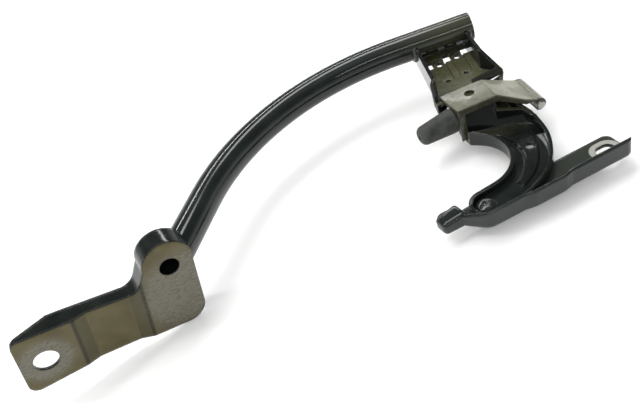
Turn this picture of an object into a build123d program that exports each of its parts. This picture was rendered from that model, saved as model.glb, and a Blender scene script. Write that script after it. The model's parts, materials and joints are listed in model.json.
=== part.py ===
from build123d import *
import math
import os

# Trunk lid hinge: a pressed base bracket, a riveted gooseneck arm that swings over it, a bumper
# bracket and rubber bumper on the arm, a bent tube welded across the arm's end, and a pressed
# bracket for the lid on the tube's far end. Millimetres, +Z up along the pivot's axis, +X along
# the base bracket. The origin is midway between the two fixing slots, on the base's underside.
# Plans are drawn from the pivot; at_pivot() moves them to their place.

# Sheets, washer and play, which stack up the pivot from the base's underside
BASE_SHEET = 2.5
ARM_SHEET = 2.4
WASHER_THICK = 1.0
AXIAL_PLAY = 0.1

# Base bracket
SLOT_SPACING = 50.0
SLOT_WIDTH = 9.0
SLOT_LENGTH = 12.0
PIVOT_TO_NEAR_SLOT = 32.0
SLOT_TO_END = 10.4
BASE_FRONT = 13.0
BASE_REAR = 11.5
BASE_WALL_HEIGHT = 13.0
BASE_BEND = 4.0
BASE_END_RADIUS = 5.0
BULGE_OUT = 1.5
BULGE = [(18.0, 0), (24.0, 1), (44.0, 1), (50.0, 0)]
DIAGONAL_START = -6.5
DIAGONAL_END = (-19.0, 0.9)
NOSE_END = -29.4
NOSE_FRONT = -1.4
NOSE_REAR = 10.6
NOSE_RADIUS = 5.2
NOSE_HEIGHT = 8.5

# Pivot
SHANK_RADIUS = 4.0
RUNNING_FIT = 0.05
BUSH_WALL = 1.4
WASHER_RADIUS = 9.6
HEAD_RADIUS = 6.5
HEAD_HEIGHT = 3.4
TAIL_RADIUS = 6.2
DIMPLE_RADIUS = 1.5

# Gooseneck arm: its hook, from the pivot to the ramp
ARM_END_RADIUS = 10.2
OUTER_STRAIGHT = 10.0
OUTER_RADIUS = 56.0
OUTER_TURN = 80.0
INNER_HEADING = 3.9
INNER_STRAIGHT = 13.0
INNER_RADIUS = 25.5
INNER_TURN = 131.0
PAD_INSET = 8.2
PAD_RISE = 1.3
PAD_START = 25.0
PAD_END = 50.0
HOOK_HOLE_RADIUS = 3.0
HOOK_HOLE = (49.5, 28.5)

# Gooseneck arm: its ramp and the channel that carries the tube
RAMP_FOOT = (29.6, 67.6)
RAMP_TURN = -27.0
RAMP_RUN = 10.5
DECK_RISE = 21.0
RAMP_BEND = 3.0
TRAY_LEFT = 24.9
TRAY_LEFT_FRONT = 58.5
WING_FRONT = 81.5
WING_LEFT = 17.8
# Plan corners as (x, y, and the way each moves when the plan is drawn in)
NECK_RIGHT = [(67.0, 46.0, -1, 0), (64.6, 54.0, -1, -0.3), (50.0, 62.5, -0.9, -0.8), (50.0, 84.8, -1, 1),
              (70.5, 85.0, -1.6, 1), (63.6, 97.0, -1, 0.2)]
NECK_LEFT = (21.2, 90.5)
CHANNEL_HEADING = 75.0
CHANNEL_LEFT = (29.8, 123.8)
CHANNEL_RIGHT = (68.4, 118.2)
# The flanges' top lines from the side, as (y, z), left and right of FLANGE_SPLIT
FLANGE_SPLIT = 45.0
FLANGE_HOOK = [(-40, 9.8), (4, 9.8), (26, 12.0), (48, 13.2)]
FLANGE_LEFT = [(60, 13.4), (80, 26.0), (83.5, 28.0), (86.5, 41.4), (170, 41.4)]
FLANGE_RIGHT = [(54, 15.5), (62, 18.5), (66, 26.0), (84.6, 26.0), (85, 27.5), (97, 41.4), (170, 41.4)]
CHANNEL_PAST_TUBE = 4.0
WINDOW_SIZE = (5.0, 9.0)
WINDOW_PITCH = 14.2
WINDOW_ROW = (51.8, 128.0)
OVAL_SIZE = (6.0, 4.4)
BEAD_END_HOLE_RADIUS = 1.6
BEAD_LENGTH = 24.0
BEAD_WIDTH = 9.0
BEAD_DEPTH = 1.0

# Bumper bracket: front left corner, turn, and sizes across it
BOX_SHEET = 2.0
BOX_CORNER = (22.8, 64.2)
BOX_TURN = -6.0
BOX_TOP = 27.5
LEFT_WALL_TURN = 8.0
BOX_DEPTH = 22.5
BOX_FOOT = 4.2
BOX_RIM = 4.6
BOX_NOTCH = 17.0
SEAT_GAP = 0.1
BOX_BEND = 2.2
FACET_RUN = 22.5
FACET_DROP = 11.0
FACET_REACH = 6.4
FACET_KNEE = 16.3
BOX_HOLE_RADIUS = 3.3

# Cross pin on the end of the bumper bracket
PIN_RADIUS = 2.8
PIN_LENGTH = 28.0
PIN_PROUD = 2.2
CURL_SHEET = 1.6

# Rubber bumper
BUMPER_BACK = 7.5
BUMPER_HEIGHT = 18.5
BUMPER_RADIUS = 8.2
BUMPER_TIP_RADIUS = 6.6
BUMPER_LENGTH = 26.0
BUMPER_NECK_RADIUS = 4.0
BUMPER_BEAD_RADIUS = 5.4
BEAD_CLEARANCE = 0.4
BUMPER_VENT_RADIUS = 1.3

# Tube
TUBE_RADIUS = 10.0
TUBE_WALL = 1.6
TUBE_GAP = 1.4
TUBE_END = (77.5, 134.9)
TUBE_HEADING = 167.5
TUBE_STRAIGHT = 57.0
TUBE_BEND_RADIUS = 165.0
TUBE_BEND_TURN = 64.5
TUBE_LID_STRAIGHT = 60.5

# Lid bracket, drawn on its front face: s along it, t up, both from LID_FROM_AXIS off the tube
LID_SHEET = 2.3
LID_ALONG = (0.969, 0.124, -0.215)
LID_UP = (0.224, -0.062, 0.973)
LID_FROM_AXIS = (5.4, 1.2)
LID_FLANGE = 12.6
LID_TOP_FLANGE = 14.0
LID_RECESS = 2.5
LID_LEFT = -95.5
LID_RIGHT = 13.0
LID_BOTTOM = -46.0
LID_NECK_TOP = -9.2
LOBE_CENTRE = (-3.5, 4.5)
LOBE_RADIUS = 15.0
LID_FAR_HOLE = (-81.2, -29.8)
LID_FAR_HOLE_RADIUS = 7.2
LID_NEAR_HOLE = (-3.0, 1.8)
LID_NEAR_HOLE_RADIUS = 5.9
FAR_STEP = (-62.0, -54.0)
NEAR_STEP = (-29.0, -21.0)

# Places worked out from the sizes above
PIVOT_X = -(PIVOT_TO_NEAR_SLOT + SLOT_SPACING / 2)
BASE_END = PIVOT_TO_NEAR_SLOT + SLOT_SPACING + SLOT_TO_END
ARM_Z = BASE_SHEET + WASHER_THICK + AXIAL_PLAY
DECK_Z = ARM_Z + DECK_RISE
DECK_TOP = DECK_Z + ARM_SHEET
TUBE_Z = DECK_TOP + TUBE_GAP + TUBE_RADIUS
BUSH_RADIUS = SHANK_RADIUS + RUNNING_FIT + BUSH_WALL
BIG = 500.0


def at_pivot(shape):
    """Move a shape drawn from the pivot to the pivot's place."""
    return Pos(PIVOT_X, 0, 0) * shape


def heading(degrees, length=1.0):
    return Vector(math.cos(math.radians(degrees)), math.sin(math.radians(degrees)), 0) * length


def corner_face(corners):
    """A face from (x, y, radius) corners, each one rounded by its radius."""
    face = make_face(Polyline(*[(x, y) for x, y, r in corners], close=True).edges())
    for x, y, r in corners:
        if r:
            near = min(face.vertices(), key=lambda v: abs(v.X - x) + abs(v.Y - y))
            face = fillet(near, r)
    return face


def between(face, low, high):
    return Pos(0, 0, low) * extrude(face, high - low)


def pressed(face, low, high, radius):
    """A prism whose lower rim is rounded."""
    block = between(face, low, high)
    return fillet(block.faces().sort_by(Axis.Z)[0].outer_wire().edges(), radius)


def from_front(face, start, depth):
    """Extrude a face drawn as (x, z) back along y from start."""
    return Pos(0, start + depth, 0) * extrude(Plane.XZ * face, depth)


def flat(*points):
    return make_face(Polyline(*points, close=True).edges())


def strip(line, thickness):
    """A band of even thickness along an open line."""
    sides = [offset(line, thickness / 2, side=side, closed=False) for side in (Side.LEFT, Side.RIGHT)]
    ends = [sorted((side @ 0, side @ 1), key=lambda end: (end - line @ 0).length) for side in sides]
    edges = Line(ends[0][0], ends[1][0]).edges() + Line(ends[0][1], ends[1][1]).edges()
    return make_face(sides[0].edges() + sides[1].edges() + edges)


def base_plan(inset):
    """The base's plan drawn in by inset: bulged front, diagonal, round nose and rear edge."""
    front, rear, end = -BASE_FRONT + inset, BASE_REAR - inset, BASE_END - inset
    round_nose, nose = NOSE_RADIUS - inset, NOSE_END + inset
    x, y = DIAGONAL_END
    bulge = [(x, front - out * BULGE_OUT, 8) for x, out in reversed(BULGE)]
    return corner_face([(end, front, BASE_END_RADIUS - inset)] + bulge + [
        (DIAGONAL_START + inset * 0.45, front, 10 - inset), (x + inset * 0.35, y + inset * 1.1, 3 + inset),
        (nose, NOSE_FRONT + inset * 1.25, round_nose), (nose, NOSE_REAR - inset, round_nose),
        (-14, NOSE_REAR - inset, 0), (-9, rear, 0), (end, rear, BASE_END_RADIUS - inset)])


def base_bracket():
    """Pressed plate with a wall along its front and round its nose, two slots and the pivot hole."""
    high = BASE_WALL_HEIGHT + 1
    tray = pressed(base_plan(0), 0, BASE_WALL_HEIGHT, BASE_BEND)
    tray = tray - between(base_plan(BASE_SHEET), BASE_SHEET, high)
    # The rear and the end are open: only the plate is left there.
    corner, step = BASE_END - 6, -BASE_FRONT + BASE_SHEET
    open_side = flat((-16, 4), (-11.5, -3), (corner, -3), (corner, step), (BASE_END + 1, step), (BASE_END + 1, 30),
                     (-16, 30))
    tray = tray - between(open_side, BASE_SHEET, high)
    # The wall comes down towards the nose.
    over = flat((-40, NOSE_HEIGHT), (-18, NOSE_HEIGHT), (-6, BASE_WALL_HEIGHT), (-6, high), (-40, high))
    tray = tray - from_front(over, -40, 80)
    sink = TAIL_RADIUS - SHANK_RADIUS
    tray = tray - Cylinder(SHANK_RADIUS, BIG) - Pos(0, 0, sink / 2) * Cone(TAIL_RADIUS, SHANK_RADIUS, sink)
    tray = at_pivot(tray)
    for x in (-SLOT_SPACING / 2, SLOT_SPACING / 2):
        tray = tray - extrude(Pos(x, 0) * SlotOverall(SLOT_LENGTH, SLOT_WIDTH), BIG, both=True)
    return tray


def pivot_rivet():
    """Turned rivet: low domed head with a dimple above the arm, tail peened into the base."""
    head_z = ARM_Z + ARM_SHEET + AXIAL_PLAY
    top = head_z + HEAD_HEIGHT
    rim = head_z + HEAD_HEIGHT * 0.4
    sides = Polyline((0, 0), (TAIL_RADIUS, 0), (SHANK_RADIUS, TAIL_RADIUS - SHANK_RADIUS),
                     (SHANK_RADIUS, head_z), (HEAD_RADIUS, head_z), (HEAD_RADIUS, rim))
    dome = ThreePointArc((HEAD_RADIUS, rim), (HEAD_RADIUS * 0.74, top - HEAD_HEIGHT * 0.16), (DIMPLE_RADIUS, top))
    dimple = Polyline((DIMPLE_RADIUS, top), (0, top - 0.8), (0, 0))
    face = make_face(sides.edges() + dome.edges() + dimple.edges())
    return at_pivot(revolve(Plane.XZ * face, Axis.Z))


def thrust_washer():
    """Flat washer between the base's plate and the arm."""
    ring = Circle(WASHER_RADIUS) - Circle(SHANK_RADIUS + RUNNING_FIT)
    return at_pivot(between(ring, BASE_SHEET, BASE_SHEET + WASHER_THICK))


def pivot_bush():
    """Plain bush pressed in the arm's hole, running on the rivet."""
    ring = Circle(BUSH_RADIUS) - Circle(SHANK_RADIUS + RUNNING_FIT)
    return at_pivot(between(ring, ARM_Z, ARM_Z + ARM_SHEET))


def hook_edges(inset):
    """The hook's two edges in plan, drawn in by inset: outer one from the pivot, inner one to it."""
    end_r = ARM_END_RADIUS - inset
    straight = Line((0, -end_r), (OUTER_STRAIGHT, -end_r))
    outer = JernArc(straight @ 1, (1, 0), OUTER_RADIUS - inset, OUTER_TURN)
    start = heading(INNER_HEADING + 90, end_r)
    lead = Line(start, start + heading(INNER_HEADING, INNER_STRAIGHT))
    inner = JernArc(lead @ 1, heading(INNER_HEADING), INNER_RADIUS + inset, INNER_TURN)
    return straight, outer, lead, inner


def arm_plan(inset, past):
    """The whole arm in plan, drawn in by inset, its channel carried past the tube's middle."""
    straight, outer, lead, inner = hook_edges(inset)
    end = ThreePointArc(lead @ 0, heading(200, ARM_END_RADIUS - inset), straight @ 0)
    run, normal = heading(CHANNEL_HEADING), heading(TUBE_HEADING - 90)
    limit = Vector(*TUBE_END) + normal * past
    right_corner = Vector(CHANNEL_RIGHT[0] - inset * 1.04, CHANNEL_RIGHT[1])
    left_corner = Vector(CHANNEL_LEFT[0] + inset * 1.04, CHANNEL_LEFT[1])
    right_end = right_corner + run * ((limit - right_corner).dot(normal) / run.dot(normal))
    left_end = left_corner + run * ((limit - left_corner).dot(normal) / run.dot(normal))
    corners = [outer @ 1] + [Vector(x + dx * inset, y + dy * inset) for x, y, dx, dy in NECK_RIGHT]
    corners += [right_corner, right_end, left_end, left_corner, Vector(NECK_LEFT[0] + inset * 1.1, NECK_LEFT[1]),
                Vector(WING_LEFT + inset, WING_FRONT + 5 - inset * 0.2), Vector(WING_LEFT + inset, WING_FRONT),
                Vector(TRAY_LEFT, WING_FRONT), Vector(TRAY_LEFT, TRAY_LEFT_FRONT + inset), inner @ 1]
    edges = straight.edges() + outer.edges() + lead.edges() + inner.edges() + end.edges()
    return make_face(edges + Polyline(*corners).edges())


def across_ramp(face):
    """Extrude a side view, drawn as (y, z) from the ramp's foot, along the ramp's foot."""
    return Pos(*RAMP_FOOT, 0) * Rot(0, 0, RAMP_TURN) * extrude(Plane.YZ * face, BIG / 2, both=True)


def ramp_line(lift):
    """The arm's bent line from the side, as (y, z) from the ramp's foot."""
    z = ARM_Z + lift
    return FilletPolyline((-110, z), (0, z), (RAMP_RUN, z + DECK_RISE), (150, z + DECK_RISE), radius=RAMP_BEND)


def gooseneck_arm():
    """One pressing: a hooked tray at the pivot, a ramp up, and a channel that carries the tube."""
    plan = arm_plan(0, CHANNEL_PAST_TUBE)
    web = across_ramp(strip(ramp_line(ARM_SHEET / 2), ARM_SHEET)) & between(plan, 0, 60)
    ring = (arm_plan(0, 30) - arm_plan(ARM_SHEET, 31)) & plan
    left, right = [extrude(Plane.YZ * flat((170, 0), (-40, 0), *FLANGE_HOOK, *top), side * BIG / 2)
                   for top, side in ((FLANGE_LEFT, -1), (FLANGE_RIGHT, 1))]
    band = Pos(FLANGE_SPLIT, 0, 0) * (left + right)
    line = ramp_line(0)
    above = make_face(line.edges() + Polyline(line @ 1, (150, 90), (-110, 90), line @ 0).edges())
    arm = web + (between(ring, 0, 60) & band & across_ramp(above))
    arm = arm - Cylinder(BUSH_RADIUS, 60)
    arm = add_pad(arm)
    arm = cut_deck(arm)
    # The ramp's left edge is relieved round the bumper's bead.
    relief = box_frame(bumper_frame(Cylinder(BUMPER_BEAD_RADIUS + BEAD_CLEARANCE, 14)))
    return at_pivot(arm) - relief - tube_rod(TUBE_RADIUS, 0)


def add_pad(arm):
    """Crescent pad pressed up along the hook's middle, with a round hole through it."""
    straight, outer, lead, inner = hook_edges(0)
    big = Pos(outer.arc_center.X, outer.arc_center.Y) * Circle(OUTER_RADIUS - PAD_INSET)
    small = Pos(inner.arc_center.X, inner.arc_center.Y) * Circle(INNER_RADIUS + PAD_INSET)
    limits = flat((PAD_START, -20), (90, -20), (90, PAD_END - 6), (PAD_START, PAD_END + 16))
    pad = (big - small) & limits
    top = ARM_Z + ARM_SHEET
    raised = between(pad, top - 0.2, top + PAD_RISE)
    raised = chamfer(raised.faces().sort_by(Axis.Z)[-1].edges(), 0.6)
    hollow = between(offset(pad, -1.0), ARM_Z - 1, ARM_Z + PAD_RISE)
    return arm + raised - hollow - Pos(*HOOK_HOLE, 0) * Cylinder(HOOK_HOLE_RADIUS, 40)


def cut_deck(arm):
    """Windows, ovals, small holes and the two pressed beads in the channel's deck."""
    u, v = WINDOW_ROW
    for i in (-1, 0, 1):
        arm = arm - Pos(u + i * WINDOW_PITCH, v, DECK_TOP) * Rot(0, 0, CHANNEL_HEADING - 90) * Box(*WINDOW_SIZE, 12)
    for i in (-0.5, 0.5):
        far = Vector(u + i * WINDOW_PITCH, v - 2)
        near = far - heading(CHANNEL_HEADING, BEAD_LENGTH)
        middle = (far + near) / 2
        bead = Pos(middle.X, middle.Y) * Rot(0, 0, CHANNEL_HEADING) * SlotCenterToCenter(BEAD_LENGTH, BEAD_WIDTH)
        arm = arm - between(bead, DECK_TOP - BEAD_DEPTH, DECK_TOP + 1)
        arm = arm + between(offset(bead, -1.0), DECK_Z - BEAD_DEPTH, DECK_Z + 0.5)
        oval = Pos(far.X, far.Y) * Rot(0, 0, CHANNEL_HEADING) * SlotOverall(*OVAL_SIZE)
        arm = arm - between(oval, DECK_Z - 5, DECK_TOP + 5)
        arm = arm - Pos(near.X, near.Y, DECK_Z) * Cylinder(BEAD_END_HOLE_RADIUS, 12)
    return arm


def box_frame(shape):
    """Set a shape drawn from the bumper bracket's front left corner, y towards its back."""
    return at_pivot(Pos(*BOX_CORNER, 0) * Rot(0, 0, BOX_TURN) * shape)


def pin_centre():
    """Middle of the cross pin, under the end of the sloping side."""
    return BOX_TOP + FACET_RUN + PIN_RADIUS, DECK_TOP + BOX_SHEET / 2 - FACET_DROP - PIN_RADIUS - CURL_SHEET / 2


def bumper_bracket():
    """Bent bracket over the ramp: left wall for the bumper, flat top, sloping side curled on the pin."""
    half = BOX_SHEET / 2
    top = DECK_TOP + half
    reach = -FACET_REACH
    line = FilletPolyline((-8, top), (BOX_TOP, top), (BOX_TOP + FACET_RUN, top - FACET_DROP), radius=BOX_BEND)
    body = from_front(strip(line, BOX_SHEET), reach, BOX_DEPTH - reach)
    # The left wall leans out from the front corner, and the top runs to it.
    body = body - Rot(0, 0, LEFT_WALL_TURN) * Pos(0, -20, 0) * Box(30, 60, 60, align=(Align.MAX, Align.MIN, Align.MIN))
    wall = Pos(0, 0, BOX_FOOT) * Box(BOX_SHEET, BOX_DEPTH, top - BOX_FOOT + half, align=Align.MIN)
    body = body + Rot(0, 0, LEFT_WALL_TURN) * wall
    # In plan the front runs straight under the top, then forward along the sloping side.
    body = body - between(flat((-5, reach - 5), (BOX_TOP + 40, reach - 5), (BOX_TOP + 40, reach),
                               (BOX_TOP + FACET_KNEE, reach), (BOX_TOP, 0), (-5, 0)), 0, 60)
    # Rim turned down along the front edge and along the edge of the sloping side.
    foot = ARM_Z + ARM_SHEET + SEAT_GAP
    rim = flat((0, foot), (BOX_RIM, foot), (BOX_RIM, top + half - BOX_RIM), (BOX_TOP, top + half - BOX_RIM),
               (BOX_TOP, top), (0, top))
    body = body + from_front(rim, 0, BOX_SHEET)
    edge = Vector(FACET_KNEE, reach, 0)
    front = Plane(origin=(BOX_TOP, 0, top), x_dir=edge, z_dir=Vector(-edge.Y, edge.X, 0))
    drop = FACET_DROP / FACET_RUN * FACET_KNEE
    lip = flat((-1.0, 0), (0, 0), (edge.length, -drop), (edge.length, -drop - 1.2), (0.3, -BOX_RIM + half),
               (-1.0, -BOX_RIM + half))
    body = body + extrude(front * lip, -BOX_SHEET * 0.9)
    x, z = pin_centre()
    curl = Pos(x, z) * (Circle(PIN_RADIUS + CURL_SHEET) - Circle(PIN_RADIUS))
    gap = Pos(x, z) * Rot(0, 0, 225) * Pos(PIN_RADIUS + 1, 0) * Rectangle(6, 2.4)
    body = body + from_front(curl - gap, reach, BOX_DEPTH - reach)
    body = body - from_front(Pos(x, z) * Circle(PIN_RADIUS), reach - 5, BIG / 4)
    body = body - Pos(BOX_TOP * 0.54, BOX_DEPTH * 0.6, DECK_TOP) * Cylinder(BOX_HOLE_RADIUS, 8)
    body = body - bumper_frame(Cylinder(BUMPER_NECK_RADIUS, 9))
    # The wall is notched over the deck's left wing.
    body = body - Pos(-12, BOX_NOTCH, 0) * Box(20, 30, DECK_TOP, align=Align.MIN)
    return box_frame(body)


def bumper_frame(shape):
    """Set a shape drawn up z on the outside of the bumper bracket's left wall."""
    return Rot(0, 0, LEFT_WALL_TURN) * Pos(0, BUMPER_BACK, BUMPER_HEIGHT) * Rot(0, -90, 0) * shape


def rubber_bumper():
    """Moulded buffer: tapered body with a round tip, and a neck and bead snapped through the wall."""
    r, tip, length = BUMPER_RADIUS, BUMPER_TIP_RADIUS, BUMPER_LENGTH
    back = -BOX_SHEET
    sides = Polyline((0, back - 3.4), (2.4, back - 3.4), (BUMPER_BEAD_RADIUS, back), (BUMPER_NECK_RADIUS, back),
                     (BUMPER_NECK_RADIUS, 0), (r - 0.6, 0), (r, 0.8), (r, 4.0), (tip, length - 4.0))
    cap = ThreePointArc((tip, length - 4.0), (tip * 0.84, length - 1.2), (tip * 0.45, length))
    vent = Polyline((tip * 0.45, length), (BUMPER_VENT_RADIUS, length), (BUMPER_VENT_RADIUS, length - 6.0),
                    (0, length - 6.0), (0, back - 3.4))
    body = revolve(Plane.XZ * make_face(sides.edges() + cap.edges() + vent.edges()), Axis.Z)
    return box_frame(bumper_frame(body))


def cross_pin():
    """Round steel pin held in the bracket's curl, its front end standing proud."""
    x, z = pin_centre()
    pin = Pos(x, PIN_LENGTH / 2 - FACET_REACH - PIN_PROUD, z) * Rot(90, 0, 0) * Cylinder(PIN_RADIUS, PIN_LENGTH)
    return box_frame(chamfer(pin.edges().filter_by(GeomType.CIRCLE), 0.5))


def tube_lines(past):
    """Centre line of the tube: a straight, one long bend, and a straight to the lid bracket."""
    start = Vector(PIVOT_X + TUBE_END[0], TUBE_END[1], TUBE_Z)
    first = Line(start, start + heading(TUBE_HEADING, TUBE_STRAIGHT))
    bend = JernArc(first @ 1, heading(TUBE_HEADING), TUBE_BEND_RADIUS, TUBE_BEND_TURN)
    last = Line(bend @ 1, bend @ 1 + heading(TUBE_HEADING + TUBE_BEND_TURN, TUBE_LID_STRAIGHT + past))
    return first, bend, last


def tube_rod(radius, past):
    """A round rod along the tube's centre line."""
    first, bend, last = tube_lines(past)
    path = Wire(first.edges() + bend.edges() + last.edges())
    return sweep(Plane(origin=first @ 0, z_dir=heading(TUBE_HEADING)) * Circle(radius), path=path)


def gooseneck_tube():
    """The bent steel tube, cut square at one end and flat against the lid bracket at the other."""
    tube = tube_rod(TUBE_RADIUS, 16) - tube_rod(TUBE_RADIUS - TUBE_WALL, 16.5)
    return tube - lid_frame(Pos(0, LID_SHEET - BIG / 2, 0) * Box(BIG / 2, BIG, BIG / 2))


def lid_frame(shape):
    """Set a shape drawn in the lid bracket's frame: x along its face, z up it, y back from it."""
    end = tube_lines(0)[2] @ 1
    along, up = Vector(*LID_ALONG), Vector(*LID_UP)
    origin = end + along * LID_FROM_AXIS[0] + up * LID_FROM_AXIS[1]
    return Plane(origin=origin, x_dir=along, z_dir=up) * shape


def lid_plan(inset):
    """The lid bracket's face drawn in by inset, as (s, t)."""
    s, t = LOBE_CENTRE
    left, right, bottom, neck = LID_LEFT + inset, LID_RIGHT - inset, LID_BOTTOM + inset, LID_NECK_TOP - inset
    body = corner_face([
        (left, bottom - 5.0, 6 - inset * 0.5), (FAR_STEP[0], bottom - 0.6, 0), (right, bottom, 12 - inset),
        (s + LOBE_RADIUS - inset - 0.4, t, 0), (s, t, 0), (s - LOBE_RADIUS + inset + 0.4, t, 0),
        (-24.5 + inset * 0.8, neck - 1.6, 9 + inset), (-67 - inset * 0.3, neck, 0), (left, neck, 4 - inset * 0.5)])
    return body + Pos(s, t) * Circle(LOBE_RADIUS - inset)


def face_back(face, start, depth):
    """Extrude a face drawn as (s, t) back along the lid bracket's y."""
    return Pos(0, start + depth, 0) * extrude(Plane.XZ * face, depth)


def along_lid(face):
    """Extrude a face drawn as (s, depth) up the lid bracket."""
    return Pos(0, 0, -80) * extrude(face, 140)


def lid_bracket():
    """Pressed plate with two raised pads, a flange back along its top and side, and two holes."""
    outer = face_back(lid_plan(0), 0, LID_TOP_FLANGE)
    inner = face_back(lid_plan(LID_SHEET), LID_SHEET, LID_TOP_FLANGE)
    line = FilletPolyline((-110, 0), (FAR_STEP[0], 0), (FAR_STEP[1], LID_RECESS), (NEAR_STEP[0], LID_RECESS),
                          (NEAR_STEP[1], 0), (40, 0), radius=3.0)
    # The face is the stepped sheet; the rim keeps only what lies behind the sheet's front.
    sheet = along_lid(strip(Pos(0, LID_SHEET / 2) * line, LID_SHEET))
    behind = along_lid(make_face(line.edges() + Polyline(line @ 1, (40, 30), (-110, 30), line @ 0).edges()))
    rim = (outer - inner) & behind
    # The rim is only along the top, round the lobe and down the right side.
    low = LID_BOTTOM + 9
    open_side = flat((LID_LEFT - 9, -70), (40, -70), (40, low), (-20, low - 4), (-20, LID_NECK_TOP - 6),
                     (LID_LEFT + 5, LID_NECK_TOP - 6), (LID_LEFT - 9, LID_NECK_TOP - 1))
    rim = rim - face_back(open_side, -5, 60)
    # Its depth grows from the left corner and is greatest round the lobe.
    beyond = flat((-110, 2), (LID_LEFT + 1, 3.5), (LID_LEFT + 22, LID_FLANGE), (-30, LID_FLANGE),
                  (-18, LID_TOP_FLANGE + 0.1), (40, LID_TOP_FLANGE + 0.1), (40, 40), (-110, 40))
    rim = rim - along_lid(beyond)
    body = (sheet & outer) + rim
    for (s, t), r in ((LID_FAR_HOLE, LID_FAR_HOLE_RADIUS), (LID_NEAR_HOLE, LID_NEAR_HOLE_RADIUS)):
        body = body - Pos(s, 0, t) * Rot(90, 0, 0) * Cylinder(r, 20)
    # The flange is notched where the tube passes it, down to the face's back.
    behind_face = lid_frame(Pos(0, LID_SHEET + BIG / 2, 0) * Box(BIG / 2, BIG, BIG / 2))
    return lid_frame(body) - (tube_rod(TUBE_RADIUS, 0) & behind_face)


def build():
    return {
        "base_bracket": base_bracket(),
        "pivot_rivet": pivot_rivet(),
        "thrust_washer": thrust_washer(),
        "pivot_bush": pivot_bush(),
        "gooseneck_arm": gooseneck_arm(),
        "bumper_bracket": bumper_bracket(),
        "rubber_bumper": rubber_bumper(),
        "cross_pin": cross_pin(),
        "gooseneck_tube": gooseneck_tube(),
        "lid_bracket": lid_bracket(),
    }


os.makedirs("parts", exist_ok=True)
for name, shape in build().items():
    export_step(shape, f"parts/{name}.step")
    print(name, round(shape.volume), "mm3")
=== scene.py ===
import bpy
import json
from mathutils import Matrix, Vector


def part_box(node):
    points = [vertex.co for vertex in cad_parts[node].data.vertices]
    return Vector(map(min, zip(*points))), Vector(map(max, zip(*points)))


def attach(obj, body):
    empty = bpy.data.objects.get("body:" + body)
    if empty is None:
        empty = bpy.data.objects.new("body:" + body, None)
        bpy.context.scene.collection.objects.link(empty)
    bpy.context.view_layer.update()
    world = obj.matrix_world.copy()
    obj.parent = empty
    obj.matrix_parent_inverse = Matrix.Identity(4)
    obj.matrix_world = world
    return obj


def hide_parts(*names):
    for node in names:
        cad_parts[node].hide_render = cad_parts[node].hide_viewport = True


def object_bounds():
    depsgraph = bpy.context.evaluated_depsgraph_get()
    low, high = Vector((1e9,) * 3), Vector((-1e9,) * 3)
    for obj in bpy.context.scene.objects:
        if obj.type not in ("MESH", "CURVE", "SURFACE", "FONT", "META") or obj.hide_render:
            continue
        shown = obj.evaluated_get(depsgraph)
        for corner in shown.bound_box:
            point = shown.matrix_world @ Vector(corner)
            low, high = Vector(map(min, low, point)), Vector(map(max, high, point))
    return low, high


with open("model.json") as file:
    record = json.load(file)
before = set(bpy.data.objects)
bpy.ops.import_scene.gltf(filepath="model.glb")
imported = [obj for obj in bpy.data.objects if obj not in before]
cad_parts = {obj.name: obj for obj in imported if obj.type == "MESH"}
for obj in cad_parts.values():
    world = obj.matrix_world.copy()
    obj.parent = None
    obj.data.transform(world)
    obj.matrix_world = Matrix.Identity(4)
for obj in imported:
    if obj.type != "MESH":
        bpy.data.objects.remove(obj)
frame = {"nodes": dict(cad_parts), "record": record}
cad_bounds = [list(corner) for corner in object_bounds()]

import bpy
import bmesh
import json
import math
from mathutils import Matrix, Vector

# Base bracket: pressed steel plate under a glossy black dipped coating with a green-grey cast.
# Its open slot has lost the coating where the screw's head bore on it.


def finish(name, roughness, metallic=0.0, coat=0.0, specular=0.5):
    """A new material, with its node tree and its shader."""
    made = bpy.data.materials.new(name)
    made.use_nodes = True
    tree = made.node_tree
    shader = tree.nodes["Principled BSDF"]
    shader.inputs["Roughness"].default_value = roughness
    shader.inputs["Metallic"].default_value = metallic
    shader.inputs["Coat Weight"].default_value = coat
    shader.inputs["Coat Roughness"].default_value = 0.12
    shader.inputs["Specular IOR Level"].default_value = specular
    return made, tree, shader


def add(tree, kind, values=(), **settings):
    """A node with its settings, and its inputs set to numbers or joined to other sockets."""
    node = tree.nodes.new("ShaderNode" + kind)
    for key, value in settings.items():
        setattr(node, key, value)
    for index, value in dict(values).items():
        if isinstance(value, bpy.types.NodeSocket):
            tree.links.new(value, node.inputs[index])
        else:
            node.inputs[index].default_value = value
    return node


def place(tree):
    """The part's own coordinates, in metres."""
    return add(tree, "TexCoord").outputs["Object"]


def axis(tree, letter):
    """One of those coordinates: X, Y or Z."""
    return add(tree, "SeparateXYZ", {0: place(tree)}).outputs[letter]


def mottle(tree, scale, detail=6.0):
    """Soft uneven cloud, 0 to 1, at so many waves a metre."""
    return add(tree, "TexNoise", {"Vector": place(tree), "Scale": scale, "Detail": detail}).outputs["Fac"]


def span(tree, value, low, high, start=0.0, end=1.0):
    """value from low to high turned into start to end, smoothly."""
    ends = {0: value, 1: low, 2: high, 3: start, 4: end}
    return add(tree, "MapRange", ends, interpolation_type="SMOOTHSTEP").outputs[0]


def mix(tree, amount, first, second):
    """The first colour where amount is 0, and the second where it is 1."""
    node = add(tree, "Mix", data_type="RGBA")
    for index, value in ((0, amount), (6, first), (7, second)):
        if isinstance(value, bpy.types.NodeSocket):
            tree.links.new(value, node.inputs[index])
        else:
            node.inputs[index].default_value = (*value, 1.0) if isinstance(value, tuple) else value
    return node.outputs[2]


def times(tree, first, second, operation="MULTIPLY"):
    """Two values multiplied, or joined by another operation."""
    return add(tree, "Math", {0: first, 1: second}, operation=operation).outputs[0]


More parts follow.
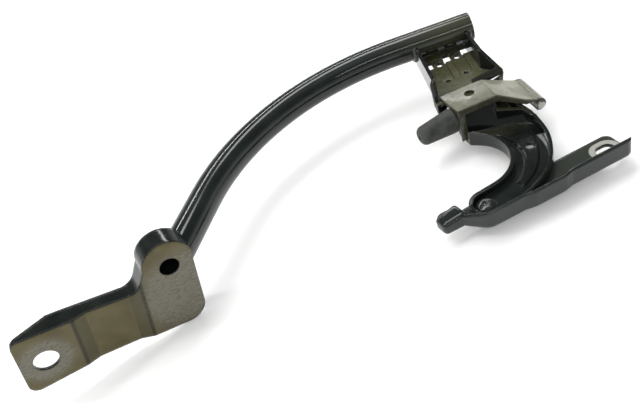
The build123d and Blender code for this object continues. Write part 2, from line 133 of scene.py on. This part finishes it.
def skin(tree, shader, scale, depth, soften):
    """The coating's slight orange peel, over sheet edges whose corners are rounded off."""
    edge = add(tree, "Bevel", {"Radius": soften}, samples=6).outputs["Normal"]
    height = mottle(tree, scale, 3.0)
    peel = add(tree, "Bump", {"Height": height, "Distance": depth, "Strength": 1.0, "Normal": edge})
    tree.links.new(peel.outputs["Normal"], shader.inputs["Normal"])


def paint(tree, shader, color, roughness):
    """Join a colour and a roughness to the shader."""
    tree.links.new(color, shader.inputs["Base Color"])
    tree.links.new(roughness, shader.inputs["Roughness"])


def facing(tree, direction, low, high):
    """1 where the surface faces along direction, 0 where it turns away."""
    normal = add(tree, "TexCoord").outputs["Normal"]
    turn = add(tree, "VectorMath", {0: normal, 1: direction}, operation="DOT_PRODUCT").outputs["Value"]
    return span(tree, turn, low, high)


def near(tree, centre, inner, outer, stretch=0.0):
    """1 up to inner metres from centre, 0 past outer; stretch draws centre out each way along X."""
    apart = add(tree, "VectorMath", {0: place(tree), 1: centre}, operation="SUBTRACT").outputs[0]
    x, y, z = add(tree, "SeparateXYZ", {0: apart}).outputs
    past = times(tree, times(tree, times(tree, x, 0.0, "ABSOLUTE"), stretch, "SUBTRACT"), 0.0, "MAXIMUM")
    apart = add(tree, "CombineXYZ", {0: past, 1: y, 2: z}).outputs[0]
    gap = add(tree, "VectorMath", {0: apart}, operation="LENGTH").outputs["Value"]
    return span(tree, gap, inner, outer, 1.0, 0.0)


def dress(name, material):
    """Give one of the solids its finish."""
    slots = frame["nodes"][name].data.materials
    slots.clear()
    slots.append(material)


PLATE_TOP = 0.0025
SLOT_CENTRE = (0.025, 0.0, PLATE_TOP)
SLOT_REACH = 0.0016
SCREW_HEAD = 0.008
DIP_DARK, DIP_LIGHT = (0.009, 0.013, 0.012), (0.017, 0.023, 0.020)
PLATE_PAINTED_REFLECTION, BARE_RING = (0.042, 0.046, 0.038), (0.40, 0.395, 0.355)
black_dip, tree, shader = finish("black dipped coating", 0.2, coat=0.15)
clouds = mottle(tree, 60.0)
dark = mix(tree, span(tree, clouds, 0.3, 0.7), DIP_DARK, DIP_LIGHT)
# The plate's upward face is painted lighter grey, a painted reflection of the light above it.
plate = times(tree, facing(tree, (0, 0, 1), 0.8, 0.98),
              span(tree, axis(tree, "Z"), PLATE_TOP + 0.001, PLATE_TOP + 0.002, 1.0, 0.0))
dark = mix(tree, times(tree, plate, 0.8), dark, PLATE_PAINTED_REFLECTION)
ring = near(tree, SLOT_CENTRE, SCREW_HEAD - 0.0004, SCREW_HEAD + 0.0004, SLOT_REACH)
ring = times(tree, ring, plate)
ring = times(tree, ring, span(tree, mottle(tree, 500.0), 0.2, 0.45, 0.7, 1.0))
paint(tree, shader, mix(tree, ring, dark, BARE_RING), span(tree, clouds, 0.3, 0.7, 0.07, 0.14))
skin(tree, shader, scale=500.0, depth=0.000012, soften=0.0016)
dress("base_bracket", black_dip)

# Folded nose: the base's round end, where the wall is pressed over into one smooth closed lug that
# narrows to its tip. It is the same sheet and the same coating as the base bracket.
NOSE_CENTRE = (-0.0787, 0.0045, 0.0052)
NOSE_SIZE = (0.0164, 0.0132, 0.0100)
NOSE_TURN = math.radians(7)
NOSE_TIP = (0.80, 0.84)
NOSE_ROUNDING = 0.0028
bpy.ops.object.select_all(action="DESELECT")
bpy.ops.mesh.primitive_cube_add(size=1.0)
nose = bpy.context.object
nose.name = "folded_nose"
for vertex in nose.data.vertices:
    if vertex.co.x < 0:
        vertex.co.y, vertex.co.z = vertex.co.y * NOSE_TIP[0], vertex.co.z * NOSE_TIP[1]
nose.matrix_world = (Matrix.Translation(NOSE_CENTRE) @ Matrix.Rotation(NOSE_TURN, 4, "Z")
                     @ Matrix.Diagonal((*NOSE_SIZE, 1.0)))
bpy.ops.object.transform_apply(location=True, rotation=True, scale=True)
bpy.ops.object.mode_set(mode="EDIT")
bpy.ops.mesh.select_all(action="SELECT")
bpy.ops.mesh.bevel(offset=NOSE_ROUNDING, segments=8, affect="EDGES")
bpy.ops.object.mode_set(mode="OBJECT")
bpy.ops.object.shade_smooth_by_angle(angle=math.radians(40))
nose.data.materials.append(black_dip)
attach(nose, "base")

# Pivot: a turned steel rivet, black in its dimple, with the washer and the bush that it holds. The head
# is coated with the rest. The washer, the bush and the bumper bracket's pin are plain bright steel.
PIVOT = Vector((-0.057, 0, 0))
DIMPLE_BLACK, RUBBED_HEAD = (0.010, 0.012, 0.010), (0.028, 0.030, 0.025)
rivet_finish, tree, shader = finish("rivet coating", 0.2, coat=0.15)
clouds = mottle(tree, 350.0)
about_pivot = add(tree, "Mapping", {"Vector": place(tree), "Location": -PIVOT}).outputs[0]
turned = add(tree, "TexWave", {"Vector": about_pivot, "Scale": 260.0, "Distortion": 0.6},
             wave_type="RINGS", rings_direction="Z").outputs["Fac"]
rub = times(tree, span(tree, turned, 0.55, 0.9), span(tree, clouds, 0.45, 0.65))
paint(tree, shader, mix(tree, rub, DIMPLE_BLACK, RUBBED_HEAD), span(tree, clouds, 0.3, 0.7, 0.08, 0.18))
skin(tree, shader, scale=1200.0, depth=0.00001, soften=0.0004)
dress("pivot_rivet", rivet_finish)

STEEL_DARK, STEEL_LIGHT = (0.34, 0.33, 0.30), (0.56, 0.55, 0.51)
plain_steel, tree, shader = finish("plain steel", 0.34, metallic=1.0)
clouds = mottle(tree, 500.0)
drawn_out = add(tree, "Mapping", {"Vector": place(tree), "Scale": (1, 1, 14)}).outputs[0]
grain = add(tree, "TexNoise", {"Vector": drawn_out, "Scale": 300.0, "Detail": 4.0}).outputs["Fac"]
paint(tree, shader, mix(tree, span(tree, grain, 0.3, 0.7), STEEL_DARK, STEEL_LIGHT),
      span(tree, clouds, 0.3, 0.7, 0.26, 0.44))
skin(tree, shader, scale=1500.0, depth=0.00003, soften=0.0003)
for name in ("thrust_washer", "pivot_bush", "cross_pin"):
    dress(name, plain_steel)

# Gooseneck arm: one steel pressing. Its hook is glossy black; the coating thins to olive brown on the
# channel's deck, and the windows and holes are punched before it is dipped.
RAMP_FOOT, RAMP_HEAD = 0.038, 0.086
WALL_FOOT, WALL_TOP = 0.030, 0.034
HOOK_DARK, HOOK_LIGHT = (0.004, 0.005, 0.005), (0.010, 0.013, 0.011)
DECK_DARK, DECK_LIGHT = (0.066, 0.066, 0.036), (0.088, 0.086, 0.050)
arm_coat, tree, shader = finish("arm coating", 0.16, coat=0.1, specular=0.42)
clouds, fine = mottle(tree, 55.0), mottle(tree, 260.0)
black = mix(tree, span(tree, clouds, 0.3, 0.7), HOOK_DARK, HOOK_LIGHT)
olive = mix(tree, span(tree, fine, 0.25, 0.75), DECK_DARK, DECK_LIGHT)
deck = times(tree, span(tree, axis(tree, "Y"), RAMP_FOOT, RAMP_HEAD), facing(tree, (0, 0, 1), 0.55, 0.92))
deck = times(tree, deck, span(tree, axis(tree, "Z"), WALL_FOOT, WALL_TOP, 1.0, 0.0))
paint(tree, shader, mix(tree, deck, black, olive), span(tree, clouds, 0.3, 0.7, 0.05, 0.10))
skin(tree, shader, scale=450.0, depth=0.000012, soften=0.0012)
dress("gooseneck_arm", arm_coat)

# Bumper bracket: 1.6 mm sheet folded over the ramp and welded there, with a rim turned down along its front
# and its sloping side curled round a pin. Its thin olive coating shows on the faces turned up; the faces
# turned away take a dark painted shade, and the sloping side is painted paler as painted light.
FILM_DARK, FILM_LIGHT = (0.128, 0.125, 0.086), (0.158, 0.154, 0.110)
SIDE_SHADE_DARK, SIDE_SHADE_LIGHT = (0.030, 0.030, 0.020), (0.060, 0.059, 0.038)
PAINTED_SLOPE_LIGHT = (0.36, 0.355, 0.29)
bracket_coat, tree, shader = finish("bumper bracket coating", 0.26, coat=0.15)
clouds, fine = mottle(tree, 80.0), mottle(tree, 300.0)
olive = mix(tree, span(tree, fine, 0.25, 0.75), FILM_DARK, FILM_LIGHT)
# A dark painted shade, used on every face that turns away from the top.
shade = mix(tree, span(tree, clouds, 0.3, 0.7), SIDE_SHADE_DARK, SIDE_SHADE_LIGHT)
lit_top = facing(tree, (0.1, 0, 0.99), 0.2, 0.95)
# The sloping side is painted paler, as painted light on that face.
slope = facing(tree, (0.44, 0, 0.90), 0.94, 0.99)
olive = mix(tree, times(tree, slope, span(tree, clouds, 0.35, 0.6, 0.5, 1.0)), olive, PAINTED_SLOPE_LIGHT)
paint(tree, shader, mix(tree, lit_top, shade, olive), span(tree, clouds, 0.3, 0.7, 0.20, 0.34))
skin(tree, shader, scale=600.0, depth=0.00002, soften=0.0005)
BRACKET_CORNER = (-0.0342, 0.0642, 0)
BRACKET_TURN = math.radians(-6)
BRACKET_SHEET, BRACKET_BEND = 0.0016, 0.0020
BRACKET_HOLE, HOLE_RADIUS = (0.01485, 0.0135, 0.029), 0.0033
# The bracket's own corners, in millimetres from its front left corner at the foot.
TOP, RIM_LOW, SIDE_LOW, WALL_LOW = 29.0, 24.0, 27.1, 4.2
TAB, TAB_LOW, TOP_END = 4.6, 6.2, 27.5
STEP_LINE, BACK_LINE, SLOPE_FRONT = 16.9, 22.5, -6.4
STEP_LEFT, BACK_LEFT = -2.38, -3.13
KNEE, KNEE_LOW = (43.8, 21.0), 17.4
SLOPE_END, SLOPE_END_LOW = (49.0, 18.5), 17.3
CURL_CENTRE, CURL_RADIUS = (52.8, 13.4), 4.4
CURL_START, CURL_END, CURL_STEP = 105, -135, -15


def fold(sheet, old, new):
    """Extrude the run of edges through the old corners, in millimetres, and set its new corners."""
    bpy.ops.mesh.select_all(action="DESELECT")
    mesh = bmesh.from_edit_mesh(sheet.data)
    corners = []
    for point in old:
        target = Vector(point) / 1000
        corners.append(min(mesh.verts, key=lambda v: (v.co - target).length))
    for first, second in zip(corners, corners[1:]):
        for edge in first.link_edges:
            if edge.other_vert(first) == second:
                edge.select_set(True)
    bmesh.update_edit_mesh(sheet.data)
    bpy.ops.mesh.extrude_region_move()
    mesh = bmesh.from_edit_mesh(sheet.data)
    fresh = [v for v in mesh.verts if v.select]
    places = [(Vector(a) / 1000, Vector(b) / 1000) for a, b in zip(old, new)]
    for vertex in fresh:
        vertex.co = min(places, key=lambda pair: (vertex.co - pair[0]).length)[1]
    bmesh.update_edit_mesh(sheet.data)


bpy.ops.object.select_all(action="DESELECT")
bpy.ops.mesh.primitive_plane_add(size=1.0)
bracket = bpy.context.object
bracket.name = "folded_bumper_bracket"
front = [(0, 0, TOP), (TAB, 0, TOP), (TOP_END, 0, TOP)]
step = [(STEP_LEFT, STEP_LINE, TOP), (TAB, STEP_LINE, TOP), (TOP_END, STEP_LINE, TOP)]
back = [(BACK_LEFT, BACK_LINE, TOP), (TAB, BACK_LINE, TOP), (TOP_END, BACK_LINE, TOP)]
first_four = front[:2] + step[:2]
for vertex, point in zip(sorted(bracket.data.vertices, key=lambda v: (v.co.y, v.co.x)), first_four):
    vertex.co = Vector(point) / 1000
bpy.ops.object.mode_set(mode="EDIT")
fold(bracket, (front[1], step[1]), (front[2], step[2]))
fold(bracket, step, back)
front_low = [(x, y, RIM_LOW) for x, y, z in front]
step_low, back_low = (STEP_LEFT, STEP_LINE, SIDE_LOW), (BACK_LEFT, BACK_LINE, SIDE_LOW)
fold(bracket, front, front_low)
fold(bracket, (front[0], step[0], back[0]), (front_low[0], step_low, back_low))
fold(bracket, (front_low[0], step_low), ((0, 0, WALL_LOW), (STEP_LEFT, STEP_LINE, WALL_LOW)))
fold(bracket, front_low[:2], ((0, 0, WALL_LOW), (TAB, 0, TAB_LOW)))
rows = (SLOPE_FRONT, STEP_LINE, BACK_LINE)
knee = [(KNEE[0], y, KNEE[1]) for y in rows]
slope_end = [(SLOPE_END[0], y, SLOPE_END[1]) for y in rows]
fold(bracket, (front[2], step[2], back[2]), knee)
fold(bracket, knee, slope_end)
slope_low = (front_low[2], (KNEE[0], SLOPE_FRONT, KNEE_LOW), (SLOPE_END[0], SLOPE_FRONT, SLOPE_END_LOW))
fold(bracket, (front[2], knee[0], slope_end[0]), slope_low)
last_run = slope_end
for degrees in range(CURL_START, CURL_END, CURL_STEP):
    x = CURL_CENTRE[0] + CURL_RADIUS * math.cos(math.radians(degrees))
    z = CURL_CENTRE[1] + CURL_RADIUS * math.sin(math.radians(degrees))
    next_run = [(x, y, z) for y in rows]
    fold(bracket, last_run, next_run)
    last_run = next_run
bpy.ops.mesh.select_all(action="SELECT")
bpy.ops.mesh.remove_doubles(threshold=0.00005)
bpy.ops.mesh.normals_make_consistent(inside=False)
bpy.ops.object.mode_set(mode="OBJECT")
top_face = max(bracket.data.polygons, key=lambda f: f.center.z)
if top_face.normal.z < 0:
    bpy.ops.object.mode_set(mode="EDIT")
    bpy.ops.mesh.flip_normals()
    bpy.ops.object.mode_set(mode="OBJECT")
bend = bracket.modifiers.new("bends", "BEVEL")
bend.width, bend.segments, bend.angle_limit = BRACKET_BEND, 4, math.radians(22)
thick = bracket.modifiers.new("sheet", "SOLIDIFY")
thick.thickness, thick.offset, thick.use_even_offset = BRACKET_SHEET, -1.0, True
bpy.ops.mesh.primitive_cylinder_add(vertices=48, radius=HOLE_RADIUS, depth=0.02, location=BRACKET_HOLE)
punch = bpy.context.object
hole = bracket.modifiers.new("hole", "BOOLEAN")
hole.object, hole.operation, hole.solver = punch, "DIFFERENCE", "EXACT"
bpy.ops.object.select_all(action="DESELECT")
bpy.context.view_layer.objects.active = bracket
bracket.select_set(True)
for modifier in ("bends", "sheet", "hole"):
    bpy.ops.object.modifier_apply(modifier=modifier)
bpy.data.objects.remove(punch)
bracket.matrix_world = Matrix.Translation(BRACKET_CORNER) @ Matrix.Rotation(BRACKET_TURN, 4, "Z")
bpy.ops.object.transform_apply(location=True, rotation=True, scale=True)
bpy.ops.object.shade_smooth_by_angle(angle=math.radians(35))
bracket.data.materials.append(bracket_coat)
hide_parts("bumper_bracket")
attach(bracket, "arm")

# Neck flange: the arm's outer flange where it runs up from the hook under the bumper bracket's sloping
# side and joins the channel's right side, with the strip of web inside it, of the arm's own sheet.
# Its stations are X, Y, foot and top, in millimetres from the pivot.
NECK = [(66.6, 47.0, 4.0, 13.2), (65.0, 52.0, 4.0, 14.6), (63.0, 58.0, 5.0, 17.0), (62.5, 65.0, 8.0, 19.0),
        (63.5, 75.0, 12.0, 19.6), (66.0, 82.5, 17.0, 20.0), (70.4, 86.5, 22.5, 26.6)]
NECK_SHEET, NECK_RIM = 0.0022, 0.0006
WEB_EDGE, WEB_TIP = 50.5, (56.5, 86.5, 22.5)
stations = [((x, y, low), (x, y, high)) for x, y, low, high in NECK]
web = [(WEB_EDGE, y, low) for x, y, low, high in NECK[2:-1]] + [WEB_TIP]
bpy.ops.object.select_all(action="DESELECT")
bpy.ops.mesh.primitive_plane_add(size=1.0)
neck = bpy.context.object
neck.name = "neck_flange"
first_four = stations[0] + stations[1]
for vertex, point in zip(sorted(neck.data.vertices, key=lambda v: (v.co.y, v.co.x)), first_four):
    vertex.co = Vector(point) / 1000
bpy.ops.object.mode_set(mode="EDIT")
for last, following in zip(stations[1:], stations[2:]):
    fold(neck, last, following)
fold(neck, [low for low, high in stations[2:]], web)
bpy.ops.mesh.select_all(action="SELECT")
bpy.ops.mesh.normals_make_consistent(inside=False)
bpy.ops.object.mode_set(mode="OBJECT")
smooth = neck.modifiers.new("smooth", "SUBSURF")
smooth.levels, smooth.render_levels = 2, 2
thick = neck.modifiers.new("sheet", "SOLIDIFY")
thick.thickness, thick.offset = NECK_SHEET, 0.0
rim = neck.modifiers.new("rim", "BEVEL")
rim.width, rim.segments = NECK_RIM, 3
for modifier in ("smooth", "sheet", "rim"):
    bpy.ops.object.modifier_apply(modifier=modifier)
neck.matrix_world = Matrix.Translation(PIVOT)
bpy.ops.object.transform_apply(location=True, rotation=True, scale=True)
bpy.ops.object.shade_smooth_by_angle(angle=math.radians(40))
neck.data.materials.append(arm_coat)
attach(neck, "arm")

# Rubber bumper: a moulded buffer of matte grey-green rubber, dusty, pushed through the bracket's wall. Its
# mould left it plain.
RUBBER_DARK, RUBBER_LIGHT = (0.026, 0.029, 0.026), (0.062, 0.066, 0.057)
RUBBER_DUST = (0.13, 0.13, 0.115)
bumper_rubber, tree, shader = finish("bumper rubber", 0.62, specular=0.35)
clouds, fine = mottle(tree, 140.0), mottle(tree, 1800.0)
grey = mix(tree, span(tree, clouds, 0.3, 0.7), RUBBER_DARK, RUBBER_LIGHT)
dust = times(tree, span(tree, fine, 0.55, 0.75), 0.35)
paint(tree, shader, mix(tree, dust, grey, RUBBER_DUST), span(tree, clouds, 0.3, 0.7, 0.5, 0.72))
skin(tree, shader, scale=2200.0, depth=0.00005, soften=0.0008)
dress("rubber_bumper", bumper_rubber)

# Tube: welded steel tube bent on a former, under the same glossy dip. A thin dark line painted along its
# lower inner side is a painted reflection, and the long highlights wander with the bending.
TUBE_DARK, TUBE_LIGHT = (0.007, 0.010, 0.009), (0.013, 0.018, 0.015)
TUBE_OLIVE, PAINTED_DARK_REFLECTION = (0.036, 0.038, 0.022), (0.002, 0.003, 0.003)
DARK_REFLECTION_FOOT, DARK_REFLECTION_TOP = (0.0052, 0.0040), (0.0034, 0.0022)
tube_coat, tree, shader = finish("tube coating", 0.16, coat=0.15)
clouds, slow = mottle(tree, 45.0), mottle(tree, 14.0, 2.0)
green = mix(tree, span(tree, clouds, 0.3, 0.7), TUBE_DARK, TUBE_LIGHT)
height = axis(tree, "Z")
tube_low, tube_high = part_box("gooseneck_tube")
middle = (tube_low.z + tube_high.z) / 2
# A thin band just below the tube's middle height is painted near black: a painted dark reflection.
run = times(tree, span(tree, height, middle - DARK_REFLECTION_FOOT[0], middle - DARK_REFLECTION_FOOT[1]),
            span(tree, height, middle - DARK_REFLECTION_TOP[0], middle - DARK_REFLECTION_TOP[1], 1.0, 0.0))
surface_colour = mix(tree, span(tree, axis(tree, "X"), -0.05, 0.01), green, TUBE_OLIVE)
surface_colour = mix(tree, times(tree, run, 0.8), surface_colour, PAINTED_DARK_REFLECTION)
paint(tree, shader, surface_colour, span(tree, slow, 0.35, 0.65, 0.06, 0.13))
skin(tree, shader, scale=400.0, depth=0.00001, soften=0.0004)
dress("gooseneck_tube", tube_coat)

# Lid bracket: pressed plate welded on the tube's end. Its face shows olive brown through the thin
# coating, its turned flange is glossy black, and both pads are scuffed grey where the lid bore on them.
LID_FRONT = (0.107, -0.990, -0.088)
LID_CREASES, CREASE_LEAN = (-0.3042, -0.2632), 0.230
CREASE_CORE, CREASE_FADE = 0.0003, 0.0018
mounts = {mount["name"]: Vector(mount["pos_m"]) for mount in frame["record"]["mounts"]}
FAR_PAD, NEAR_PAD = mounts["lid_far_hole"], mounts["lid_near_hole"] + Vector((0.002, 0, -0.022))
LID_BLACK_DARK, LID_BLACK_LIGHT = (0.006, 0.008, 0.007), (0.014, 0.017, 0.014)
LID_DARK, LID_LIGHT = (0.086, 0.070, 0.026), (0.116, 0.098, 0.042)
SCUFF, SCRATCH = (0.185, 0.178, 0.150), (0.42, 0.41, 0.38)
BEND_SHADE, CREASE_SHADE = (0.066, 0.057, 0.026), (0.022, 0.020, 0.012)
lid_coat, tree, shader = finish("lid bracket coating", 0.26, coat=0.05, specular=0.3)
clouds, fine = mottle(tree, 70.0), mottle(tree, 500.0)
black = mix(tree, span(tree, clouds, 0.3, 0.7), LID_BLACK_DARK, LID_BLACK_LIGHT)
olive = mix(tree, span(tree, clouds, 0.3, 0.7), LID_DARK, LID_LIGHT)
face = facing(tree, LID_FRONT, 0.85, 0.94)
bends = facing(tree, LID_FRONT, 0.943, 0.977)
pads = times(tree, near(tree, FAR_PAD, 0.011, 0.019), near(tree, NEAR_PAD, 0.020, 0.036), "MAXIMUM")
rubbed = add(tree, "Mapping", {"Vector": place(tree), "Rotation": (0, 0.6, 0), "Scale": (1, 1, 3)})
brush = add(tree, "TexNoise", {"Vector": rubbed.outputs[0], "Scale": 420.0, "Detail": 8.0, "Roughness": 0.65})
scuff = times(tree, pads, span(tree, brush.outputs["Fac"], 0.35, 0.65, 0.35, 0.95))
surface_colour = mix(tree, scuff, olive, SCUFF)
scratch = times(tree, times(tree, pads, span(tree, fine, 0.66, 0.72)), 0.5)
surface_colour = mix(tree, scratch, surface_colour, SCRATCH)
# The slopes of the bends and two thin crease lines are painted darker, as painted shade.
surface_colour = mix(tree, bends, BEND_SHADE, surface_colour)
for reach in LID_CREASES:
    along_lid = times(tree, axis(tree, "X"), times(tree, axis(tree, "Z"), CREASE_LEAN), "SUBTRACT")
    line = times(tree, span(tree, along_lid, reach - CREASE_FADE, reach - CREASE_CORE),
                 span(tree, along_lid, reach + CREASE_CORE, reach + CREASE_FADE, 1.0, 0.0))
    surface_colour = mix(tree, times(tree, line, 0.85), surface_colour, CREASE_SHADE)
dullness = span(tree, times(tree, scuff, face), 0.0, 1.0, 0.10, 0.46)
paint(tree, shader, mix(tree, face, black, surface_colour), dullness)
skin(tree, shader, scale=500.0, depth=0.000015, soften=0.0026)
dress("lid_bracket", lid_coat)

# Weld beads: each one is a run of filler round the tube, laid in small overlapping ripples before the
# whole hinge was dipped, so it is as black as the coating round it.
TUBE_END = Vector((0.0205, 0.1349, middle))
TUBE_HEADING = math.radians(167.5)
WELD_RING, WELD_THICK = 0.0104, 0.0014
WELD_TOP, WELD_REAR = 0.0032, 0.0042
WELD_DARK, WELD_LIGHT = (0.010, 0.011, 0.009), (0.045, 0.046, 0.036)
CHANNEL_WALLS = (("weld_left", 0.0440), ("weld_right", 0.0037))
weld_coat, tree, shader = finish("coated weld", 0.3, coat=0.4)
clouds = mottle(tree, 300.0)
paint(tree, shader, mix(tree, span(tree, clouds, 0.3, 0.7), WELD_DARK, WELD_LIGHT),
      span(tree, clouds, 0.3, 0.7, 0.22, 0.42))
skin(tree, shader, scale=1400.0, depth=0.0001, soften=0.0003)


def bead(name, turn, cuts):
    """A rippled ring of weld in place, cut off at each (point, outward direction) and closed."""
    bpy.ops.object.select_all(action="DESELECT")
    bpy.ops.mesh.primitive_torus_add(major_radius=WELD_RING, minor_radius=WELD_THICK,
                                     major_segments=120, minor_segments=16)
    weld = bpy.context.object
    weld.name = name
    weld.matrix_world = turn
    bpy.ops.object.transform_apply(location=True, rotation=True, scale=True)
    bpy.ops.object.mode_set(mode="EDIT")
    for point, outward in cuts:
        bpy.ops.mesh.select_all(action="SELECT")
        bpy.ops.mesh.bisect(plane_co=point, plane_no=outward, use_fill=True, clear_outer=True)
    bpy.ops.mesh.select_all(action="SELECT")
    bpy.ops.mesh.normals_make_consistent(inside=False)
    bpy.ops.object.mode_set(mode="OBJECT")
    ripple = bpy.data.textures.new(name + "_ripple", "CLOUDS")
    ripple.noise_scale = 0.0022
    push = weld.modifiers.new("ripple", "DISPLACE")
    push.texture, push.texture_coords = ripple, "LOCAL"
    push.strength, push.mid_level = 0.0009, 0.5
    bpy.ops.object.modifier_apply(modifier="ripple")
    bpy.ops.object.shade_smooth_by_angle(angle=math.radians(50))
    weld.data.materials.append(weld_coat)
    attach(weld, "arm")


across_tube = Matrix.Rotation(TUBE_HEADING, 4, "Z") @ Matrix.Rotation(math.pi / 2, 4, "Y")
along = Vector((math.cos(TUBE_HEADING), math.sin(TUBE_HEADING), 0))
rear = Vector((math.sin(TUBE_HEADING), -math.cos(TUBE_HEADING), 0))
for name, reach in CHANNEL_WALLS:
    centre = TUBE_END + along * reach
    top_cut = (centre + Vector((0, 0, WELD_TOP)), (0, 0, 1))
    rear_cut = (centre + rear * WELD_REAR, rear)
    bead(name, Matrix.Translation(centre) @ across_tube, (top_cut, rear_cut))

# Floor and light: white paper under the part and a pale tent round it, with soft light from a wide lamp
# above and from narrow strips behind, at the left and in front, so that the black coating carries long
# thin highlights.
low_z = cad_bounds[0][2]
FLOOR_GAP = 0.0004
PAPER, PAPER_GLOW, GLOW_STRENGTH = (0.93, 0.93, 0.92, 1), (1.0, 1.0, 0.985, 1), 0.14
bpy.ops.object.select_all(action="DESELECT")
bpy.ops.mesh.primitive_plane_add(size=8.0, location=(0, 0, low_z - FLOOR_GAP))
floor = bpy.context.object
floor.name = "floor"
bpy.ops.object.transform_apply(location=True)
paper, tree, shader = finish("white paper", 0.9, specular=0.1)
shader.inputs["Base Color"].default_value = PAPER
shader.inputs["Emission Color"].default_value = PAPER_GLOW
lift = times(tree, add(tree, "LightPath").outputs["Is Camera Ray"], GLOW_STRENGTH)
tree.links.new(lift, shader.inputs["Emission Strength"])
floor.data.materials.append(paper)

TENT_FOOT, TENT_WALL, TENT_ROOF = (0.80, 0.82, 0.81), (0.12, 0.13, 0.13), (0.45, 0.46, 0.46)
TENT_LIGHT = (0.60, 0.61, 0.61)
world = bpy.data.worlds.new("studio tent")
bpy.context.scene.world = world
world.use_nodes = True
tree = world.node_tree
light_path = add(tree, "LightPath")
seen = times(tree, light_path.outputs["Is Camera Ray"], light_path.outputs["Is Glossy Ray"], "MAXIMUM")
seen = times(tree, seen, light_path.outputs["Is Transmission Ray"], "MAXIMUM")
rise = add(tree, "SeparateXYZ", {0: add(tree, "TexCoord").outputs["Generated"]}).outputs["Z"]
tent = mix(tree, span(tree, rise, 0.02, 0.42), TENT_FOOT, TENT_WALL)
tent = mix(tree, span(tree, rise, 0.72, 0.97), tent, TENT_ROOF)
tree.links.new(mix(tree, seen, TENT_LIGHT, tent), tree.nodes["Background"].inputs["Color"])


def lamp(name, energy, size, spot, aim):
    """A soft rectangular lamp at spot, turned towards aim."""
    light = bpy.data.lights.new(name, "AREA")
    light.shape, light.size, light.size_y, light.energy = "RECTANGLE", size[0], size[1], energy
    holder = bpy.data.objects.new(name, light)
    bpy.context.scene.collection.objects.link(holder)
    holder.location = spot
    holder.rotation_euler = (Vector(aim) - Vector(spot)).to_track_quat("-Z", "Y").to_euler()


lamp("top lamp", 5.0, (1.2, 0.24), (-0.20, 0.28, 0.95), (-0.08, 0.05, 0.02))
lamp("back strip", 3.0, (1.3, 0.035), (-0.10, 0.85, 0.66), (-0.08, 0.05, 0.02))
lamp("left strip", 2.2, (0.035, 1.1), (-0.85, 0.25, 0.60), (-0.10, 0.06, 0.02))
lamp("front strip", 1.6, (1.3, 0.03), (-0.30, -0.66, 0.74), (-0.14, 0.03, 0.02))

# Camera: the photograph's own viewpoint, in front of the hinge and above it, looking down over the tube
# with the lid bracket at the left and the pivot at the right.
camera = bpy.data.objects.new("camera", bpy.data.cameras.new("camera"))
bpy.context.scene.collection.objects.link(camera)
EYE = (-0.19269, -0.27571, 0.2910)
VIEW_AXES = ((0.88504, -0.37177, -0.28017), (0.44980, 0.52786, 0.72045), (-0.11995, -0.76365, 0.63439))
camera.matrix_world = Matrix.Translation(EYE) @ Matrix(VIEW_AXES).transposed().to_4x4()
camera.data.lens = 39.375
camera.data.sensor_width = 36.0
camera.data.clip_start = 0.01
bpy.context.scene.camera = camera
bpy.context.scene.view_settings.view_transform = "Standard"
